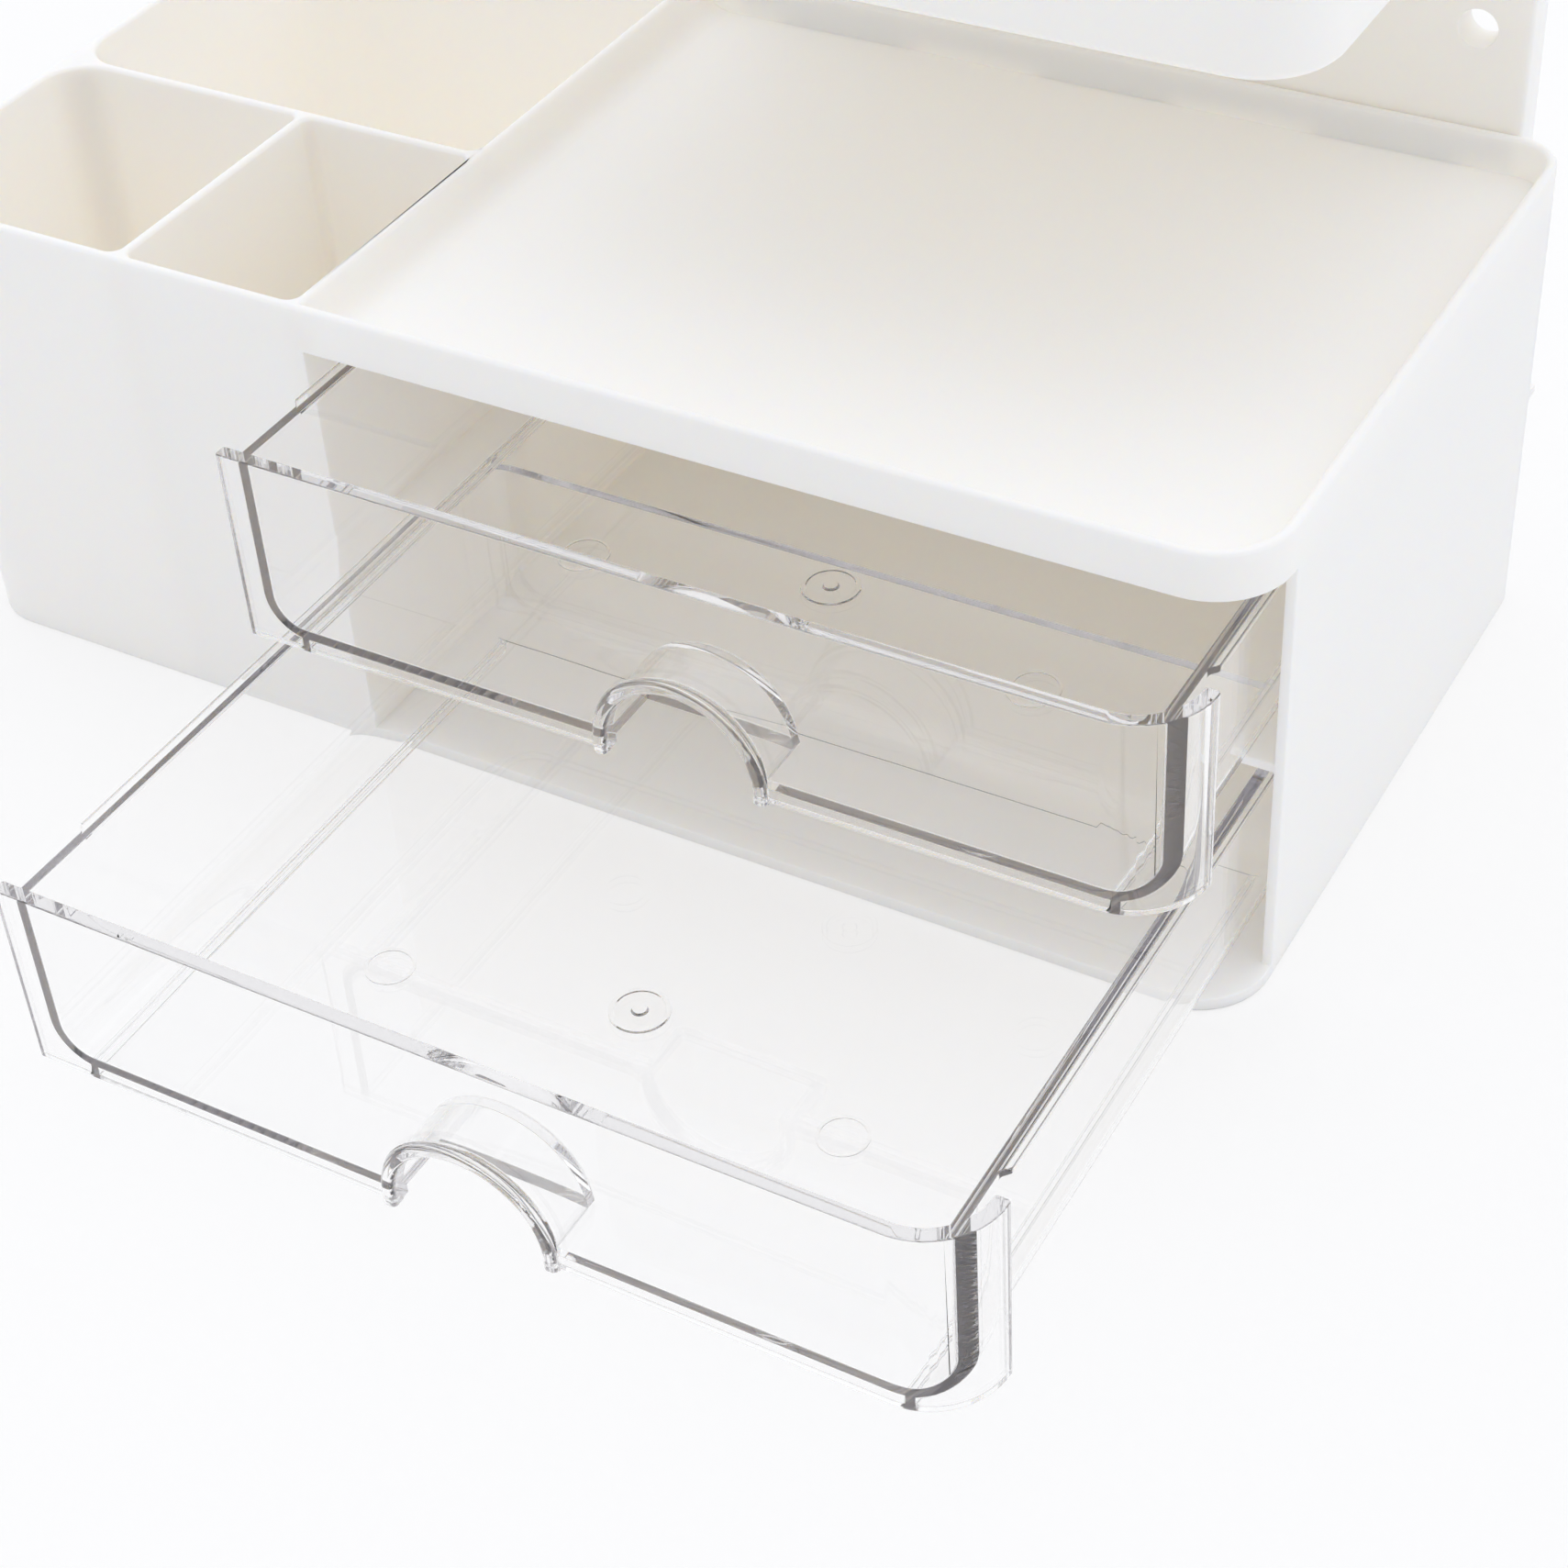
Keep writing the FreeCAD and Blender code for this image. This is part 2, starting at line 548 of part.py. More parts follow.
def build_panel():
    """The upright panel: a plate with a rim turned back, three tabs, two holes and two hook slots."""
    body = new_body("back_panel")
    front = "-places.panel_front"
    outline = rounded_rectangle(body, "panel_outline", "XZ_Plane", front,
                                ("panel_left", "panel_right", "panel_foot", "panel_top"),
                                (None, "panel_corner", "panel_corner", None))
    pad(body, "panel_block", outline, "sizes.panel_rim_depth", reverse=True)
    hollow = rounded_rectangle(body, "panel_hollow_outline", "XZ_Plane", "-places.panel_rim_back",
                               ("hollow_left", "hollow_right", "hollow_foot", "hollow_top"),
                               (None, "hollow_corner", "hollow_corner", None))
    pocket(body, "panel_hollow", hollow, "sizes.panel_rim_depth - sizes.panel_thick", reverse=True)
    # Tabs that go down into the sockets of the case
    for name, place in (("left", "- sizes.tab_spacing"), ("middle", ""), ("right", "+ sizes.tab_spacing")):
        middle = "places.bay_centre " + place
        tab = rectangle(body, "tab_%s_outline" % name, "XZ_Plane", front,
                        middle + " - sizes.tab_width / 2", middle + " + sizes.tab_width / 2",
                        "places.tab_foot", "places.panel_foot + sizes.panel_rim_wall / 2")
        pad(body, "tab_%s" % name, tab, "sizes.panel_thick", reverse=True)
    # Round holes low in both sides, each with a collar behind the plate
    for name, across in (("left", "places.panel_left + sizes.hole_inset"),
                         ("right", "places.panel_right - sizes.hole_inset")):
        collar = circle(body, "collar_%s_outline" % name, "XZ_Plane", front, across,
                        "places.hole_height", "sizes.hole_radius + sizes.boss_wall")
        pad(body, "collar_%s" % name, collar, "sizes.panel_rim_depth", reverse=True)
        hole = circle(body, "hole_%s_outline" % name, "XZ_Plane", front, across,
                      "places.hole_height", "sizes.hole_radius")
        pocket(body, "hole_%s" % name, hole, "sizes.panel_rim_depth")
    # Slots for the shelf's hooks
    for name, place in (("left", "- sizes.hook_spacing / 2"), ("right", "+ sizes.hook_spacing / 2")):
        middle = "places.bay_centre " + place
        slot = rectangle(body, "hook_slot_%s_outline" % name, "XZ_Plane", front,
                         middle + " - sizes.hook_width / 2 - sizes.hook_gap",
                         middle + " + sizes.hook_width / 2 + sizes.hook_gap",
                         "places.hook_foot", "places.slot_top")
        pocket(body, "hook_slot_%s" % name, slot, "sizes.panel_thick")
    face = value("panel_front")
    outside = value("panel_top") - value("panel_corner")
    chamfer(body, "panel_edge_break", "sizes.rim_break", lambda box: (
        close(box.YMin, face) and close(box.YMax, face) and box.ZMax > outside - NEAR
        and box.XLength + box.ZLength > value("panel_corner")))
    return body


def build_shelf():
    """The upper tray: an open box with two gussets under it and two hooks behind it."""
    body = new_body("shelf_tray")
    outline = rounded_rectangle(body, "shelf_outline", "XY_Plane", "sizes.shelf_bottom",
                                ("shelf_left", "shelf_right", "shelf_front", "shelf_back"),
                                ("shelf_corner", "shelf_rear_corner", "shelf_rear_corner", "shelf_corner"))
    pad(body, "shelf_block", outline, "sizes.shelf_height")
    chamfer(body, "shelf_foot_break", "sizes.shelf_foot_break", level_at(value("shelf_bottom")))
    space = rounded_rectangle(body, "shelf_space_outline", "XY_Plane", "places.shelf_top", (
        "shelf_space_left", "shelf_space_right", "shelf_space_front", "shelf_space_back"), (
        "shelf_inner_corner", "shelf_inner_rear", "shelf_inner_rear", "shelf_inner_corner"))
    pocket(body, "shelf_space", space, "sizes.shelf_height - sizes.shelf_floor")
    chamfer(body, "shelf_rim_break", "sizes.rim_break", level_at(value("shelf_top")))
    # Gussets that brace the floor against the panel
    overlap = "sizes.shelf_bottom + sizes.shelf_floor / 2"
    for name, offset in (("left", "places.gusset_left"), ("right", "places.gusset_right - sizes.wall")):
        gusset = polygon(body, "gusset_%s_outline" % name, "YZ_Plane", offset, [
            ("places.shelf_back - sizes.gusset_length", overlap),
            ("places.shelf_back - sizes.gusset_length", "sizes.shelf_bottom - sizes.wall"),
            ("places.shelf_back - sizes.wall", "sizes.shelf_bottom - sizes.gusset_drop"),
            ("places.shelf_back", "sizes.shelf_bottom - sizes.gusset_drop"),
            ("places.shelf_back", overlap)])
        pad(body, "gusset_%s" % name, gusset, "sizes.wall")
    # Hooks that drop in behind the plate of the panel
    for name, place in (("left", "- sizes.hook_spacing / 2"), ("right", "+ sizes.hook_spacing / 2")):
        hook = polygon(body, "hook_%s_outline" % name, "YZ_Plane",
                       "places.bay_centre %s - sizes.hook_width / 2" % place, [
                           ("places.shelf_back - sizes.wall / 2", "places.hook_foot"),
                           ("places.hook_front", "places.hook_foot"),
                           ("places.hook_front", "places.hook_foot - sizes.hook_drop"),
                           ("places.hook_front + sizes.hook_thick", "places.hook_foot - sizes.hook_drop"),
                           ("places.hook_front + sizes.hook_thick", "places.hook_foot + sizes.hook_height"),
                           ("places.shelf_back - sizes.wall / 2", "places.hook_foot + sizes.hook_height")])
        pad(body, "hook_%s" % name, hook, "sizes.hook_width")
    return body


def build_drawer(label, height, opening):
    """A clear drawer: a front that wraps the corner, a round-cornered tub and a beaded finger pull."""
    body = new_body(label)
    # Tub, solid at first. It starts inside the front and meets the bend at a slant.
    outline = polygon(body, label + "_tub_outline", "XY_Plane", "sizes.rib_height", [
        ("places.tub_left", "places.tub_front"),
        ("places.front_right - sizes.front_corner", "places.tub_front"),
        ("places.tub_right", "places.tub_slant"),
        ("places.tub_right", "places.tub_back"),
        ("places.tub_left", "places.tub_back")])
    pad(body, label + "_tub_block", outline, "places.front_top - sizes.rib_height")
    left, right, back = value("tub_left"), value("tub_right"), value("tub_back")
    fillet(body, label + "_tub_rear_corners", "places.tub_outer_corner",
           upright_at((left, back), (right, back)))
    cavity = rounded_rectangle(body, label + "_cavity_outline", "XY_Plane", "places.front_top",
                               ("cavity_left", "cavity_right", "front_back", "cavity_back"),
                               (None, "tub_corner", "tub_corner", None))
    pocket(body, label + "_cavity", cavity, "places.front_top - places.floor_top")
    fillet(body, label + "_cavity_floor", "sizes.floor_round",
           side_edges("floor_top", "cavity_left", "cavity_right"))
    fillet(body, label + "_tub_underside", "sizes.floor_round + sizes.tub_floor",
           side_edges("rib_height", "tub_left", "tub_right"))
    # Front that hangs below the floor and stands out past both sides of the tub
    front = wrapped_outline(body, label + "_front_outline", "sizes.front_lift")
    pad(body, label + "_front", front, "sizes.front_height")
    ends_x = (value("front_left"), value("front_right"), value("front_right") - value("front_thick"))
    fillet(body, label + "_front_ends", "sizes.front_end_round", upright_at(
        (ends_x[0], value("case_front")), (ends_x[0], value("front_back")),
        (ends_x[1], value("wrap_back")), (ends_x[2], value("wrap_back"))))
    # Flanges along the top of both sides, tapered at their ends
    for name, side, out in (("left", "places.tub_left", -1), ("right", "places.tub_right", 1)):
        root = "%s - %d * sizes.tub_wall / 2" % (side, out)
        tip = "%s + %d * sizes.tub_flange" % (side, out)
        flange = polygon(body, "%s_flange_%s_outline" % (label, name), "XY_Plane", "places.front_top", [
            (root, "places.flange_front"),
            (tip, "places.flange_front + sizes.flange_taper"),
            (tip, "places.flange_back - sizes.flange_taper"),
            (root, "places.flange_back")])
        pad(body, "%s_flange_%s" % (label, name), flange, "sizes.tub_flange", reverse=True)
    # Ribs under the floor that run between the ledges
    ribs = (
        ("left", "places.rib_left", "places.rib_left + sizes.rib_width"),
        ("right", "places.rib_right - sizes.rib_width", "places.rib_right"),
    )
    for name, low, high in ribs:
        rib = rectangle(body, "%s_rib_%s_outline" % (label, name), "XY_Plane", "0",
                        low, high, "places.tub_front", "places.tub_back - places.tub_outer_corner")
        pad(body, "%s_rib_%s" % (label, name), rib, "sizes.rib_height + sizes.tub_floor / 2")
    # Finger pull: a half-round tunnel through the front, open below and rimmed by a bead
    shell = arch(body, label + "_pull_shell_outline", "-places.pull_back", "shell_radius", "rib_height")
    pad(body, label + "_pull_shell", shell, "sizes.pull_depth + sizes.pull_wall")
    bead = arch(body, label + "_pull_bead_outline", "places.half_depth - sizes.front_thick / 2",
                "bead_radius", "bead_foot")
    pad(body, label + "_pull_bead", bead, "sizes.front_thick / 2 + sizes.pull_bead_out")
    finger = arch(body, label + "_pull_space_outline", "places.half_depth + sizes.pull_bead_out",
                  "pull_radius", "finger_foot")
    pocket(body, label + "_pull_space", finger, "sizes.pull_bead_out + sizes.pull_depth")
    bead_face = value("case_front") - value("pull_bead_out")
    fillet(body, label + "_bead_rounding", "sizes.bead_round", lambda box: (
        close(box.YMin, bead_face) and close(box.YMax, bead_face) and box.ZMax > value("front_lift")))
    pull_back = value("pull_back")
    chamfer(body, label + "_tunnel_break", "sizes.tunnel_break", lambda box: (
        close(box.YMin, pull_back) and close(box.YMax, pull_back) and box.ZMax > value("floor_top") + NEAR))
    # Pulled out of the case as far as the photograph shows
    body.setExpression("Placement.Base.y", "-" + opening)
    body.setExpression("Placement.Base.z", height)
    return body


pieces = [
    build_case(),
    build_panel(),
    build_shelf(),
    build_drawer("upper_drawer", "places.upper_height", "sizes.upper_opening"),
    build_drawer("lower_drawer", "places.lower_height", "sizes.lower_opening"),
]

doc.recompute()
for item in doc.Objects:
    if "Invalid" in item.State or "Error" in item.State:
        raise RuntimeError("%s failed: %s" % (item.Label, item.State))
os.makedirs("parts", exist_ok=True)
for piece in pieces:
    shape = piece.Shape
    if shape.isNull() or not shape.isValid():
        raise RuntimeError(piece.Label + " is not a valid solid")
for piece in pieces:
    piece.Shape.exportStep("parts/%s.step" % piece.Label)
    print(piece.Label, "solids", len(piece.Shape.Solids), "volume", round(piece.Shape.Volume, 1))
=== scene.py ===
import math

import bmesh
import bpy
import numpy as np
from bpy.props import FloatProperty, FloatVectorProperty, PointerProperty, StringProperty
from mathutils import Matrix, Vector


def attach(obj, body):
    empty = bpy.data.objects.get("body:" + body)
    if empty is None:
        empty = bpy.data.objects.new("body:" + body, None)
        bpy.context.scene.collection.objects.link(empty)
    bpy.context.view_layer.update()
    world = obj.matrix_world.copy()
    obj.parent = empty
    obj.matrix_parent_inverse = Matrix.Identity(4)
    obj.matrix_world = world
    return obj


bl_info = {
    "name": "Pen Holder with Drawers",
    "version": (1, 0, 0),
    "blender": (4, 5, 0),
    "location": "View3D > Sidebar > Pen Holder",
    "description": "Dresses a moulded desk pen holder with two clear drawers "
                   "and sets up its studio",
    "category": "Object",
}

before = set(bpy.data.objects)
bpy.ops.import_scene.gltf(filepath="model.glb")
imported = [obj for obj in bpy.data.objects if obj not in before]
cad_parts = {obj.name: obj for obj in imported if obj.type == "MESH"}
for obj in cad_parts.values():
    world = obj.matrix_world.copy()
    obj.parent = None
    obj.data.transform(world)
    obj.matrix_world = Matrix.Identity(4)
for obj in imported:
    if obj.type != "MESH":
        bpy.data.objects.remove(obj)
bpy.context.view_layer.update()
MM = 0.001

# White plastic: distance between the pigment's clouds, roughness in the grain's pits and on
# its peaks, height of the grain, and how far red, green and blue spread against each other
CLOUD_SIZE = 60 * MM
SATIN_ROUGHNESS = (0.42, 0.56)
GRAIN_HEIGHT = 0.004 * MM
SCATTER_SHARES = (1.0, 0.88, 0.72)
POLYPROPYLENE_IOR = 1.49

# Clear plastic: length and height of the flow waves that the melt leaves
FLOW_SIZE = 25 * MM
FLOW_HEIGHT = 0.05 * MM
POLYSTYRENE_IOR = 1.57

# Finish of the CAD nodes
WELD_DISTANCE = 0.002 * MM
FLAT_ANGLE = math.radians(0.3)
SHARP_ANGLE = math.radians(38)
EDGE_SEGMENTS = 2
NORMAL_WEIGHT = 60

# Marks of the mould, as radius and height above the drawer's floor in millimetres
GATE_MARK = ((0, -0.05), (6.0, -0.05), (6.0, 0.15), (5.8, 0.3), (5.0, 0.3), (4.8, 0.15),
             (1.7, 0.15), (1.4, 0.6), (0, 0.7))
PIN_MARK = ((4.3, -0.05), (5.0, -0.05), (5.0, 0.12), (4.65, 0.2), (4.3, 0.12))
TURNS = 48
MERGE_DISTANCE = 0.001 * MM

# Directions of the corner post's outline, on its outer and on its hollow side
POST_OUTSIDE = np.radians(np.linspace(30, 60, 9))
POST_INSIDE = np.radians(np.linspace(90, 0, 19))

# Studio paper: its two shades, the white that the camera sees, and the distance of its fibres
PAPER_SHADES = ("F9F9F9", "FBFBFA")
PAPER_GLOW = "FDFDFE"
FIBRE_SIZE = 2 * MM
FLOOR_REACH = 4.0
FLOOR_LINES = 9

# Soft boxes: name, place and size in metres, power in watts, all turned to the object
SOFT_BOXES = (
    ("overhead", (0.1, -0.1, 1.5), (1.6, 1.2), 1.5),
    ("right", (1.4, -0.3, 0.7), (1.0, 1.0), 0.1),
    ("left", (-0.9, -0.7, 0.45), (0.6, 0.6), 0.4),
)
LAMP_TARGET = (0, 0, 0.05)

# White room: the colour that lights the object, the one that the camera sees, and how far
# back, as the y of a direction, the light is at its full strength
ROOM_LIGHT = "FBFCFF"
ROOM_SEEN = "FDFEFF"
FULL_LIGHT = 0.3

SENSOR_WIDTH = 36.0
CLIP_DISTANCES = (0.01, 20.0)

# Light crosses many clear walls to reach the eye, and bounces about in the white hollows
CLEAR_BOUNCES = 120
DIFFUSE_BOUNCES = 16


# Colours and nodes

def linear(hex_colour):
    """sRGB hex digits as linear red, green, blue and an alpha of 1.

    Each channel c is c / 12.92 below 0.04045, and ((c + 0.055) / 1.055) ** 2.4 above.
    """
    channels = [int(hex_colour[i:i + 2], 16) / 255 for i in (0, 2, 4)]
    return [c / 12.92 if c <= 0.04045 else ((c + 0.055) / 1.055) ** 2.4 for c in channels] + [1.0]


def add_node(tree, kind, options=None, inputs=None):
    """A node of the tree with its options, and its inputs set to values or linked to sockets."""
    node = tree.nodes.new(kind)
    for name, content in (options or {}).items():
        setattr(node, name, content)
    for name, content in (inputs or {}).items():
        if isinstance(content, bpy.types.NodeSocket):
            tree.links.new(content, node.inputs[name])
        else:
            node.inputs[name].default_value = content
    return node


def new_material(name):
    """An empty node material, its tree and its Object coordinates."""
    material = bpy.data.materials.new(name)
    material.use_nodes = True
    tree = material.node_tree
    tree.nodes.clear()
    return material, tree, add_node(tree, "ShaderNodeTexCoord").outputs["Object"]


def noise(tree, place, size, detail, roughness):
    """Noise from 0 to 1, with its peaks about the size apart."""
    return add_node(tree, "ShaderNodeTexNoise", None, {
        "Vector": place, "Scale": 1 / size, "Detail": detail, "Roughness": roughness}
    ).outputs["Fac"]


def shades(tree, share, first, second):
    """The first sRGB hex colour where the share is 0 and the second one where it is 1."""
    return add_node(tree, "ShaderNodeMix", {"data_type": "RGBA"}, {
        "Factor": share, "A": linear(first), "B": linear(second)}).outputs["Result"]


def relief(tree, height, distance, strength):
    """A normal from heights of 0 to 1, where 1 stands for the distance."""
    return add_node(tree, "ShaderNodeBump", None, {
        "Height": height, "Distance": distance, "Strength": strength}).outputs["Normal"]


def ramp(tree, value, start, low, end, high):
    """A value that runs straight from low at the start to high at the end, level beyond."""
    return add_node(tree, "ShaderNodeMapRange", None, {
        "Value": value, "From Min": start, "From Max": end, "To Min": low, "To Max": high}
    ).outputs["Result"]


def combine(tree, operation, first, second):
    """The outcome of a Math node for two sockets or numbers."""
    return add_node(tree, "ShaderNodeMath", {"operation": operation}, {
        0: first, 1: second}).outputs[0]


def blend(tree, share, first, second):
    """The first shader where the share is 0 and the second one where it is 1."""
    return add_node(tree, "ShaderNodeMixShader", None, {
        0: share, 1: first, 2: second}).outputs[0]


def seen_by_camera(tree):
    """A socket that is 1 for rays from the camera, straight, mirrored or through a clear wall."""
    ray = add_node(tree, "ShaderNodeLightPath").outputs
    straight = combine(tree, "MAXIMUM", ray["Is Camera Ray"], ray["Is Transmission Ray"])
    return combine(tree, "MAXIMUM", straight, ray["Is Glossy Ray"])


# Materials

def white_polypropylene(settings):
    """Polypropylene filled with titanium white, injection moulded in a lightly etched steel mould.

    The eye gets a satin, faintly warm white. Light that bounces about in a compartment meets
    the warm pigment again and again, so the hollows look creamier than the outer faces.
    """
    material, tree, place = new_material("satin_white_polypropylene")
    # Grain that the etched mould leaves, which breaks the gloss into a satin sheen
    grain = noise(tree, place, settings.grain * MM, detail=3.0, roughness=0.6)
    # Slow clouding of the pigment
    cloud = noise(tree, place, CLOUD_SIZE, detail=2.0, roughness=0.5)
    shader = add_node(tree, "ShaderNodeBsdfPrincipled", None, {
        "Base Color": shades(tree, cloud, settings.white_low, settings.white_high),
        "Roughness": ramp(tree, grain, 0.0, SATIN_ROUGHNESS[0], 1.0, SATIN_ROUGHNESS[1]),
        "Normal": relief(tree, grain, GRAIN_HEIGHT, strength=0.5),
        "IOR": POLYPROPYLENE_IOR, "Specular IOR Level": 0.4,
        "Subsurface Weight": 1.0, "Subsurface Radius": SCATTER_SHARES,
        "Subsurface Scale": settings.scatter * MM})
    add_node(tree, "ShaderNodeOutputMaterial", None, {"Surface": shader.outputs["BSDF"]})
    return material


def clear_polystyrene(settings):
    """Crystal polystyrene, injection moulded in a polished mould.

    The eye sees straight through the walls, and a smoky grey band at every rim and corner,
    where it looks along a wall.
    """
    material, tree, place = new_material("clear_polished_polystyrene")
    # Faint flow waves of the melt
    flow = noise(tree, place, FLOW_SIZE, detail=1.0, roughness=0.4)
    shader = add_node(tree, "ShaderNodeBsdfPrincipled", None, {
        "Base Color": linear(settings.clear_tint), "Roughness": 0.0, "IOR": POLYSTYRENE_IOR,
        "Transmission Weight": 1.0,
        "Normal": relief(tree, flow, FLOW_HEIGHT, strength=0.3)})
    # Lamps and soft light go straight through, so the clear walls leave only a faint shadow
    through = add_node(tree, "ShaderNodeBsdfTransparent", None, {
        "Color": linear(settings.clear_shadow)})
    ray = add_node(tree, "ShaderNodeLightPath").outputs
    soft = combine(tree, "MAXIMUM", ray["Is Shadow Ray"], ray["Is Diffuse Ray"])
    # Along a wall the light crosses decimetres of plastic, so the edges turn smoky grey
    smoke = add_node(tree, "ShaderNodeVolumeAbsorption", None, {
        "Color": linear(settings.smoke_tint), "Density": settings.smoke_density})
    add_node(tree, "ShaderNodeOutputMaterial", None, {
        "Surface": blend(tree, soft, shader.outputs["BSDF"], through.outputs["BSDF"]),
        "Volume": smoke.outputs["Volume"]})
    return material


def studio_paper(settings):
    """White studio paper, which gives the eye an even, near white ground with soft shadows."""
    material, tree, place = new_material("white_studio_paper")
    fibre = noise(tree, place, FIBRE_SIZE, detail=2.0, roughness=0.5)
    shader = add_node(tree, "ShaderNodeBsdfPrincipled", None, {
        "Base Color": shades(tree, fibre, *PAPER_SHADES),
        "Roughness": 0.9, "Specular IOR Level": 0.1})
    # To the camera, also by way of mirrors and clear walls, the paper glows as a lit table does
    glow = add_node(tree, "ShaderNodeEmission", None, {
        "Color": linear(PAPER_GLOW), "Strength": 1.0})
    share = combine(tree, "MULTIPLY", seen_by_camera(tree), settings.floor_glow)
    add_node(tree, "ShaderNodeOutputMaterial", None, {
        "Surface": blend(tree, share, shader.outputs["BSDF"], glow.outputs["Emission"])})
    return material


# Pieces

def finish_moulding(name, material, settings):
    """Gives a CAD node its material, one closed skin and soft edges.

    The loose facets are welded, flat ones joined, sharp edges rounded to the radius and the
    shading evened by the size of the faces.
    """
    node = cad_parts[name]
    node.data.materials.clear()
    node.data.materials.append(material)
    weld = node.modifiers.new("weld", "WELD")
    weld.merge_threshold = WELD_DISTANCE
    flat = node.modifiers.new("flat", "DECIMATE")
    flat.decimate_type = "DISSOLVE"
    flat.angle_limit = FLAT_ANGLE
    edge = node.modifiers.new("edge", "BEVEL")
    edge.width = settings.edge_radius * MM
    edge.segments = EDGE_SEGMENTS
    edge.limit_method = "ANGLE"
    edge.angle_limit = SHARP_ANGLE
    edge.use_clamp_overlap = False
    even = node.modifiers.new("even", "WEIGHTED_NORMAL")
    even.keep_sharp = False
    even.weight = NORMAL_WEIGHT
    return node


def new_piece(name, points, faces, material):
    """An object at the origin, from points, faces that list them, and a material."""
    mesh = bpy.data.meshes.new(name)
    mesh.from_pydata(points.tolist(), [], faces)
    mesh.materials.append(material)
    piece = bpy.data.objects.new(name, mesh)
    bpy.context.scene.collection.objects.link(piece)
    return piece


def turned(name, profile, centre, closed, material):
    """A solid of revolution about the upright axis through the centre.

    The profile holds pairs of radius r and height h in millimetres. At the angle t each pair
    gives x = r cos t, y = r sin t and z = h. A closed profile runs back to its first pair; an
    open one starts and ends on the axis, where its points are merged.
    """
    radius, height = np.array(profile).T * MM
    angle = np.arange(TURNS) * 2 * math.pi / TURNS
    points = np.stack([
        centre[0] + radius[:, None] * np.cos(angle),
        centre[1] + radius[:, None] * np.sin(angle),
        centre[2] + height[:, None] * np.ones(TURNS)], axis=-1).reshape(-1, 3)
    steps = len(radius) if closed else len(radius) - 1
    row, column = np.meshgrid(np.arange(steps), np.arange(TURNS), indexing="ij")
    row_after, column_after = (row + 1) % len(radius), (column + 1) % TURNS
    faces = np.stack([
        row * TURNS + column, row * TURNS + column_after,
        row_after * TURNS + column_after, row_after * TURNS + column], axis=-1).reshape(-1, 4)
    piece = new_piece(name, points, faces.tolist(), material)
    work = bmesh.new()
    work.from_mesh(piece.data)
    bmesh.ops.remove_doubles(work, verts=work.verts, dist=MERGE_DISTANCE)
    bmesh.ops.recalc_face_normals(work, faces=work.faces)
    work.to_mesh(piece.data)
    work.free()
    return piece


def mould_marks(drawer, front, floor_height, material, settings):
    """The gate's disc in the middle of a drawer's floor and an ejector pin's ring on each side."""
    middle, spacing = settings.pull_centre, settings.pin_spacing
    gate_line, pin_line = front + settings.gate_setback, front + settings.pin_setback
    marks = (
        ("gate", GATE_MARK, middle, gate_line, False),
        ("left_pin", PIN_MARK, middle - spacing, pin_line, True),
        ("right_pin", PIN_MARK, middle + spacing, pin_line, True),
    )
    for name, profile, x, y, closed in marks:
        mark = turned(drawer + "_" + name, profile, (x, y, floor_height), closed, material)
        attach(mark, drawer + "_body")


def corner_post(name, material, settings):
    """An upright post that closes a round corner of the case from inside.

    Its outline runs from one root, inside the wall, along an arc of the outer radius between
    30 and 60 degrees to the other root, and back along a quarter of the inner circle.
    """
    root = settings.corner_root
    outline = np.concatenate([
        [(root, 0)],
        settings.corner_outer * np.stack([np.cos(POST_OUTSIDE), np.sin(POST_OUTSIDE)], axis=-1),
        [(0, root)],
        settings.corner_inner * np.stack([np.cos(POST_INSIDE), np.sin(POST_INSIDE)], axis=-1)])
    outline = outline * MM + np.array(settings.corner_centre)
    count = len(outline)
    points = np.concatenate([
        np.column_stack([outline, np.full(count, settings.post_foot)]),
        np.column_stack([outline, np.full(count, settings.post_top)])])
    start = np.arange(count)
    after = (start + 1) % count
    sides = np.stack([start, after, after + count, start + count], axis=1)
    ends = [list(range(count - 1, -1, -1)), list(range(count, 2 * count))]
    return new_piece(name, points, sides.tolist() + ends, material)


# Stage

def build_floor(settings):
    """A flat grid at height 0, as wide and deep as twice its reach."""
    line = np.linspace(-FLOOR_REACH, FLOOR_REACH, FLOOR_LINES)
    across, along = np.meshgrid(line, line)
    points = np.stack([across, along, np.zeros_like(across)], axis=-1).reshape(-1, 3)
    cells = np.arange(FLOOR_LINES - 1)
    corner = (cells[:, None] * FLOOR_LINES + cells[None, :]).ravel()
    faces = np.stack([
        corner, corner + 1, corner + FLOOR_LINES + 1, corner + FLOOR_LINES], axis=1)
    floor = new_piece("studio_floor", points, faces.tolist(), studio_paper(settings))


def build_lamps():
    """Rectangular soft boxes that face a point in the middle of the object."""
    for name, place, size, power in SOFT_BOXES:
        data = bpy.data.lights.new("softbox_" + name, "AREA")
        data.shape = "RECTANGLE"
        data.size, data.size_y = size
        data.energy = power
        lamp = bpy.data.objects.new("softbox_" + name, data)
        lamp.location = place
        lamp.rotation_mode = "QUATERNION"
        lamp.rotation_quaternion = (Vector(place) - Vector(LAMP_TARGET)).to_track_quat("Z", "Y")
        bpy.context.scene.collection.objects.link(lamp)


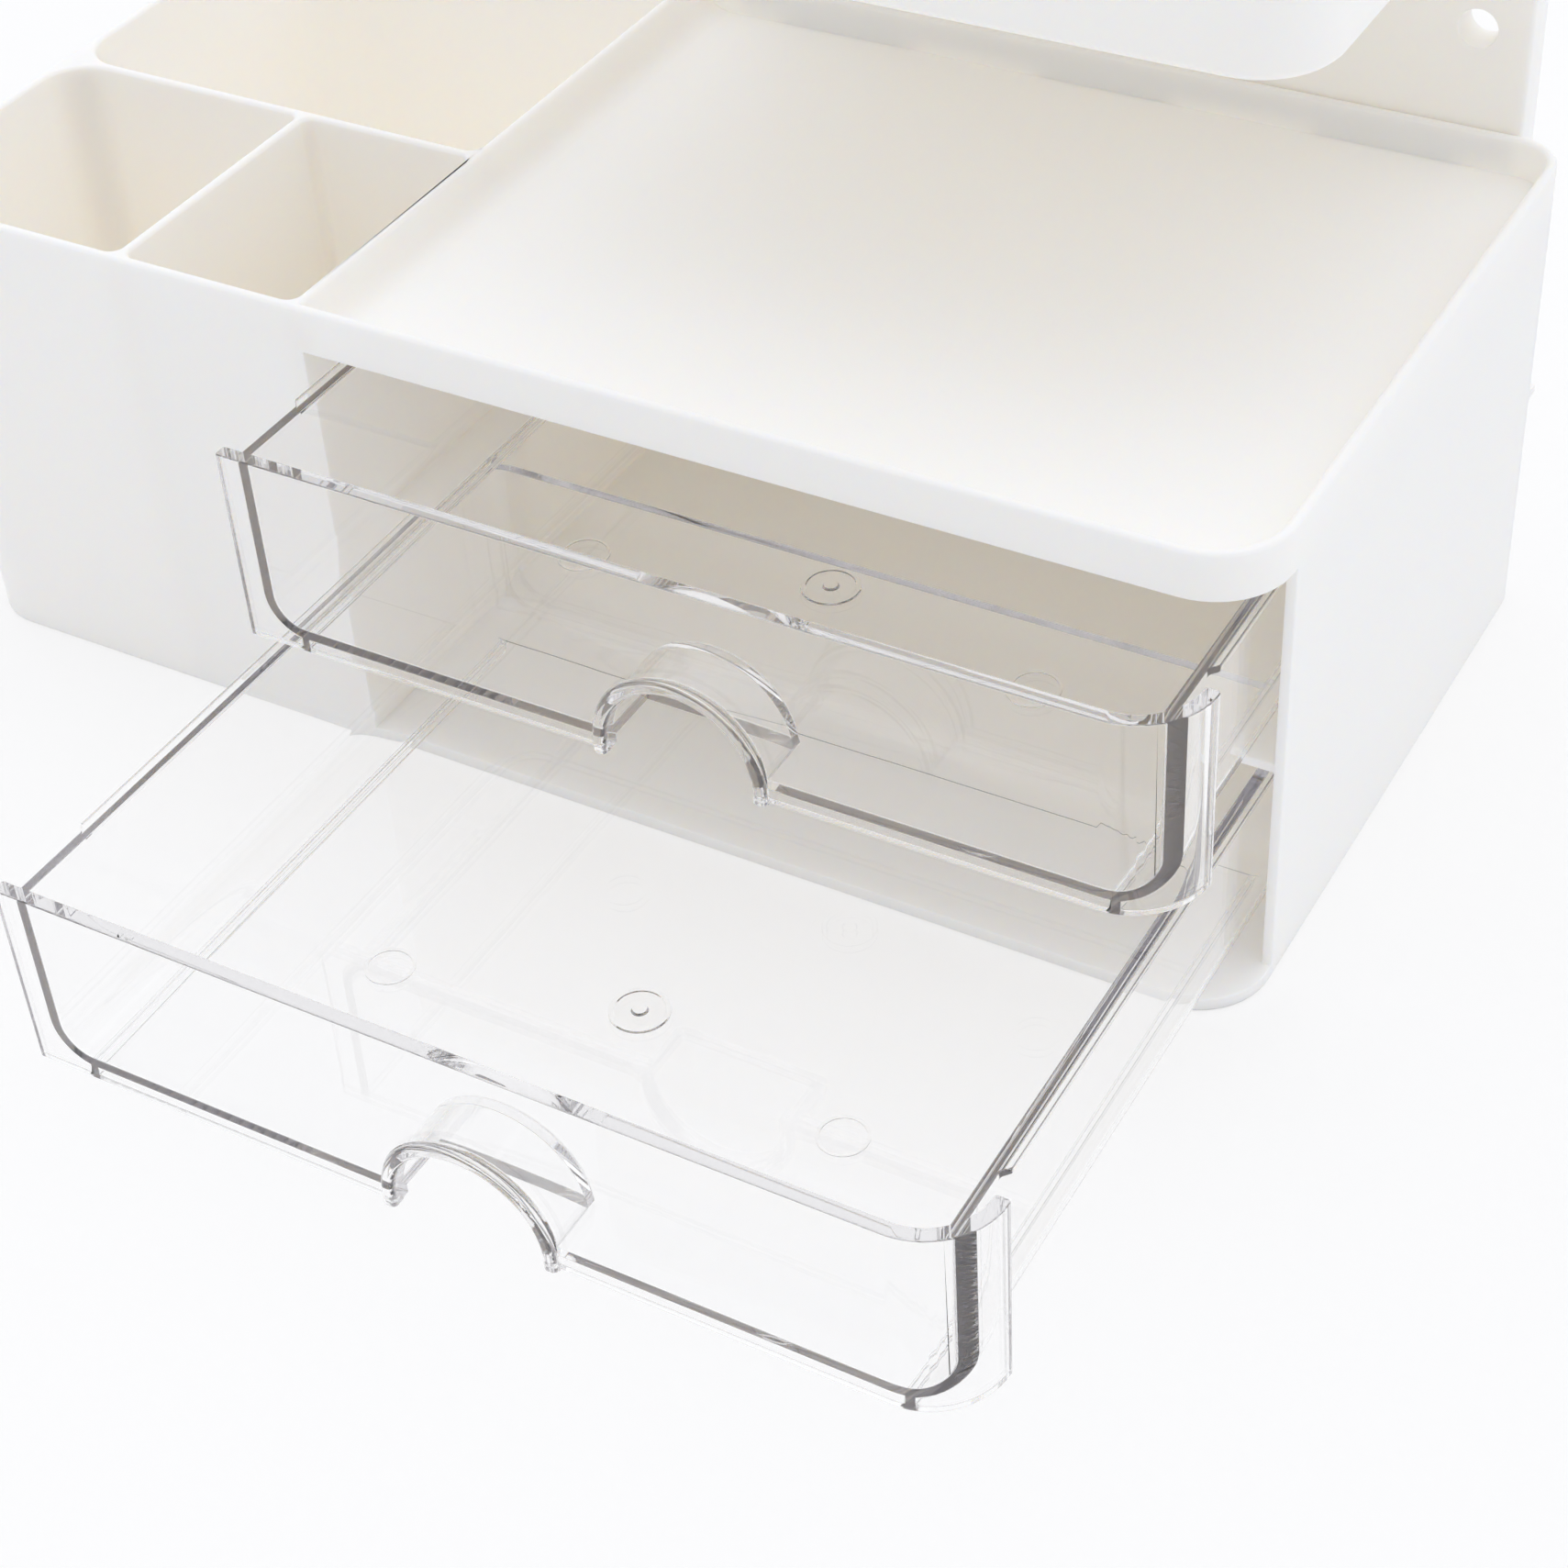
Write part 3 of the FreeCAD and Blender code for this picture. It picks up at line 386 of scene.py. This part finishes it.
def build_room(settings):
    """A white room that the camera, mirrors and clear plastic see at full white."""
    world = bpy.data.worlds.new("white_room")
    world.use_nodes = True
    tree = world.node_tree
    tree.nodes.clear()
    # Brightest overhead, dimmer towards the horizon, in front and behind
    direction = add_node(tree, "ShaderNodeSeparateXYZ", None, {
        "Vector": add_node(tree, "ShaderNodeTexCoord").outputs["Generated"]}).outputs
    height = ramp(tree, direction["Z"],
                  0.0, settings.horizon_strength, 1.0, settings.overhead_strength)
    front = ramp(tree, direction["Y"], -1.0, settings.front_share, FULL_LIGHT, 1.0)
    behind = ramp(tree, direction["Y"], FULL_LIGHT, 1.0, 1.0, settings.rear_share)
    strength = combine(tree, "MULTIPLY", height, combine(tree, "MULTIPLY", front, behind))
    room = add_node(tree, "ShaderNodeBackground", None, {
        "Color": linear(ROOM_LIGHT), "Strength": strength})
    seen = add_node(tree, "ShaderNodeBackground", None, {
        "Color": linear(ROOM_SEEN), "Strength": 1.0})
    add_node(tree, "ShaderNodeOutputWorld", None, {
        "Surface": blend(tree, seen_by_camera(tree), room.outputs[0], seen.outputs[0])})
    bpy.context.scene.world = world


def build_camera(settings):
    """The camera looks along (-sin a cos e, cos a cos e, -sin e), then rolls about that line."""
    turn, tilt, roll = settings.azimuth, settings.elevation, settings.roll
    ahead = Vector((
        -math.sin(turn) * math.cos(tilt), math.cos(turn) * math.cos(tilt), -math.sin(tilt)))
    level = ahead.cross(Vector((0, 0, 1))).normalized()
    down = ahead.cross(level)
    right = math.cos(roll) * level - math.sin(roll) * down
    below = math.sin(roll) * level + math.cos(roll) * down
    data = bpy.data.cameras.new("camera")
    data.lens = settings.lens
    data.sensor_width = SENSOR_WIDTH
    data.clip_start, data.clip_end = CLIP_DISTANCES
    camera = bpy.data.objects.new("camera", data)
    camera.matrix_world = Matrix.Translation(settings.place) @ Matrix(
        (right, -below, -ahead)).transposed().to_4x4()
    bpy.context.scene.collection.objects.link(camera)
    bpy.context.scene.camera = camera


# Settings

class PenHolderSizes(bpy.types.PropertyGroup):
    """Colours, finishes and sizes of what the scene adds to the pen holder."""

    white_low: StringProperty(
        name="Deeper white", default="FDFAF4",
        description="sRGB hex of the plastic where its pigment is densest")
    white_high: StringProperty(
        name="Paler white", default="FEFCF8",
        description="sRGB hex of the plastic where its pigment is thinnest")
    clear_tint: StringProperty(
        name="Clear tint", default="FFFFFF",
        description="sRGB hex that light takes at each clear surface")
    clear_shadow: StringProperty(
        name="Clear shadow", default="FFFFFF",
        description="sRGB hex of a lamp's light after a clear surface")
    smoke_tint: StringProperty(
        name="Smoke tint", default="9A949E",
        description="sRGB hex that long ways through the clear plastic tend to")
    smoke_density: FloatProperty(
        name="Smoke density", default=5.0, min=0.0,
        description="How fast they do so, per metre")
    grain: FloatProperty(
        name="Grain", default=0.35, min=0.05,
        description="Distance between peaks of the moulded grain, in millimetres")
    scatter: FloatProperty(
        name="Scatter", default=2.5, min=0.1,
        description="How far light spreads inside the white plastic, in millimetres")
    edge_radius: FloatProperty(
        name="Edge radius", default=0.3, min=0.0,
        description="Rounding of the moulded edges, in millimetres")
    corner_centre: FloatVectorProperty(
        name="Corner centre", default=(0.1421, 0.0672), size=2, unit="LENGTH",
        description="Centre of the case's rear right corner")
    corner_outer: FloatProperty(
        name="Corner radius", default=9.93,
        description="Outer radius of the corner's post, in millimetres")
    corner_inner: FloatProperty(
        name="Inner radius", default=7.9,
        description="Radius of the post's hollow side, in millimetres")
    corner_root: FloatProperty(
        name="Corner root", default=8.3,
        description="Where the post ends inside the walls, in millimetres")
    post_foot: FloatProperty(
        name="Post foot", default=0.0025, unit="LENGTH",
        description="Height of the post's lower end")
    post_top: FloatProperty(
        name="Post top", default=0.096, unit="LENGTH",
        description="Height of the post's upper end")
    pull_centre: FloatProperty(
        name="Pull centre", default=0.0541, unit="LENGTH",
        description="Middle of the finger pulls, from left to right")
    upper_front: FloatProperty(
        name="Upper front", default=-0.1072, unit="LENGTH",
        description="Outer face of the upper drawer's front")
    lower_front: FloatProperty(
        name="Lower front", default=-0.1852, unit="LENGTH",
        description="Outer face of the lower drawer's front")
    upper_floor: FloatProperty(
        name="Upper floor", default=0.053, unit="LENGTH",
        description="Height of the upper drawer's floor")
    lower_floor: FloatProperty(
        name="Lower floor", default=0.0077, unit="LENGTH",
        description="Height of the lower drawer's floor")
    gate_setback: FloatProperty(
        name="Gate setback", default=0.057, unit="LENGTH",
        description="Distance of the gate's disc behind the front")
    pin_setback: FloatProperty(
        name="Pin setback", default=0.046, unit="LENGTH",
        description="Distance of the pins' rings behind the front")
    pin_spacing: FloatProperty(
        name="Pin spacing", default=0.049, unit="LENGTH",
        description="Distance of each ring from the gate's disc")


class PenHolderStudio(bpy.types.PropertyGroup):
    """Camera and light of the studio."""

    azimuth: FloatProperty(
        name="Azimuth", default=math.radians(32.02), subtype="ANGLE",
        description="Turn of the camera round the object from the front")
    elevation: FloatProperty(
        name="Elevation", default=math.radians(40.32), subtype="ANGLE",
        description="Height of the camera above the horizon")
    roll: FloatProperty(
        name="Roll", default=math.radians(-4.05), subtype="ANGLE",
        description="Tilt of the camera about its own line of sight")
    place: FloatVectorProperty(
        name="Place", default=(0.2966, -0.46005, 0.40814), subtype="TRANSLATION", unit="LENGTH",
        description="Where the camera stands")
    lens: FloatProperty(
        name="Lens", default=70.69, min=1.0,
        description="Focal length on a 36 mm sensor, in millimetres")
    floor_glow: FloatProperty(
        name="Floor glow", default=0.6, min=0.0, max=1.0,
        description="Share of the floor's own white in what the camera sees")
    overhead_strength: FloatProperty(
        name="Overhead light", default=1.42, min=0.0,
        description="Strength of the white room straight above")
    horizon_strength: FloatProperty(
        name="Horizon light", default=0.8, min=0.0,
        description="Strength of the white room at the horizon")
    rear_share: FloatProperty(
        name="Rear share", default=0.72, min=0.0,
        description="Share of that light that comes from behind the object")
    front_share: FloatProperty(
        name="Front share", default=0.5, min=0.0,
        description="Share of that light that comes from the camera's side")


# Operators and panel

class PENHOLDER_OT_white_mouldings(bpy.types.Operator):
    """Finish the case, the back panel and the shelf tray in satin white"""

    bl_idname = "penholder.white_mouldings"
    bl_label = "White Mouldings"

    def execute(self, context):
        settings = context.scene.pen_holder_sizes
        white = white_polypropylene(settings)
        for name in ("case_body", "back_panel", "shelf_tray"):
            finish_moulding(name, white, settings)
        # The bays' square corner cuts through the case's round one, and the post closes it
        post = corner_post("case_rear_corner", white, settings)
        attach(post, "case")
        return {"FINISHED"}


class PENHOLDER_OT_clear_drawers(bpy.types.Operator):
    """Finish both drawers in clear plastic and set the marks of the mould on their floors"""

    bl_idname = "penholder.clear_drawers"
    bl_label = "Clear Drawers"

    def execute(self, context):
        settings = context.scene.pen_holder_sizes
        clear = clear_polystyrene(settings)
        for name in ("upper_drawer", "lower_drawer"):
            finish_moulding(name, clear, settings)
        mould_marks("upper_drawer", settings.upper_front, settings.upper_floor, clear, settings)
        mould_marks("lower_drawer", settings.lower_front, settings.lower_floor, clear, settings)
        return {"FINISHED"}


class PENHOLDER_OT_studio(bpy.types.Operator):
    """Set up the floor, the lamps, the white room and the camera"""

    bl_idname = "penholder.studio"
    bl_label = "Studio"

    def execute(self, context):
        settings = context.scene.pen_holder_studio
        build_floor(settings)
        build_lamps()
        build_room(settings)
        build_camera(settings)
        context.scene.view_settings.view_transform = "Standard"
        cycles = context.scene.cycles
        cycles.diffuse_bounces = DIFFUSE_BOUNCES
        for kind in ("max", "transmission", "glossy"):
            setattr(cycles, kind + "_bounces", CLEAR_BOUNCES)
        cycles.transparent_max_bounces = CLEAR_BOUNCES
        return {"FINISHED"}


class PENHOLDER_PT_sidebar(bpy.types.Panel):
    """Lists the pen holder's settings and pieces"""

    bl_idname = "PENHOLDER_PT_sidebar"
    bl_label = "Pen Holder"
    bl_space_type = "VIEW_3D"
    bl_region_type = "UI"
    bl_category = "Pen Holder"

    def draw(self, context):
        layout = self.layout
        for group in (context.scene.pen_holder_sizes, context.scene.pen_holder_studio):
            for name in group.__annotations__:
                layout.prop(group, name)
        for operator in OPERATORS:
            layout.operator(operator.bl_idname)


OPERATORS = (PENHOLDER_OT_white_mouldings, PENHOLDER_OT_clear_drawers, PENHOLDER_OT_studio)
CLASSES = (PenHolderSizes, PenHolderStudio) + OPERATORS + (PENHOLDER_PT_sidebar,)


def register():
    for item in CLASSES:
        bpy.utils.register_class(item)
    bpy.types.Scene.pen_holder_sizes = PointerProperty(type=PenHolderSizes)
    bpy.types.Scene.pen_holder_studio = PointerProperty(type=PenHolderStudio)


def unregister():
    del bpy.types.Scene.pen_holder_studio
    del bpy.types.Scene.pen_holder_sizes
    for item in reversed(CLASSES):
        bpy.utils.unregister_class(item)


def main():
    """Makes every piece and the stage."""
    register()
    bpy.ops.penholder.white_mouldings()
    bpy.ops.penholder.clear_drawers()
    bpy.ops.penholder.studio()


if __name__ == "__main__":
    main()
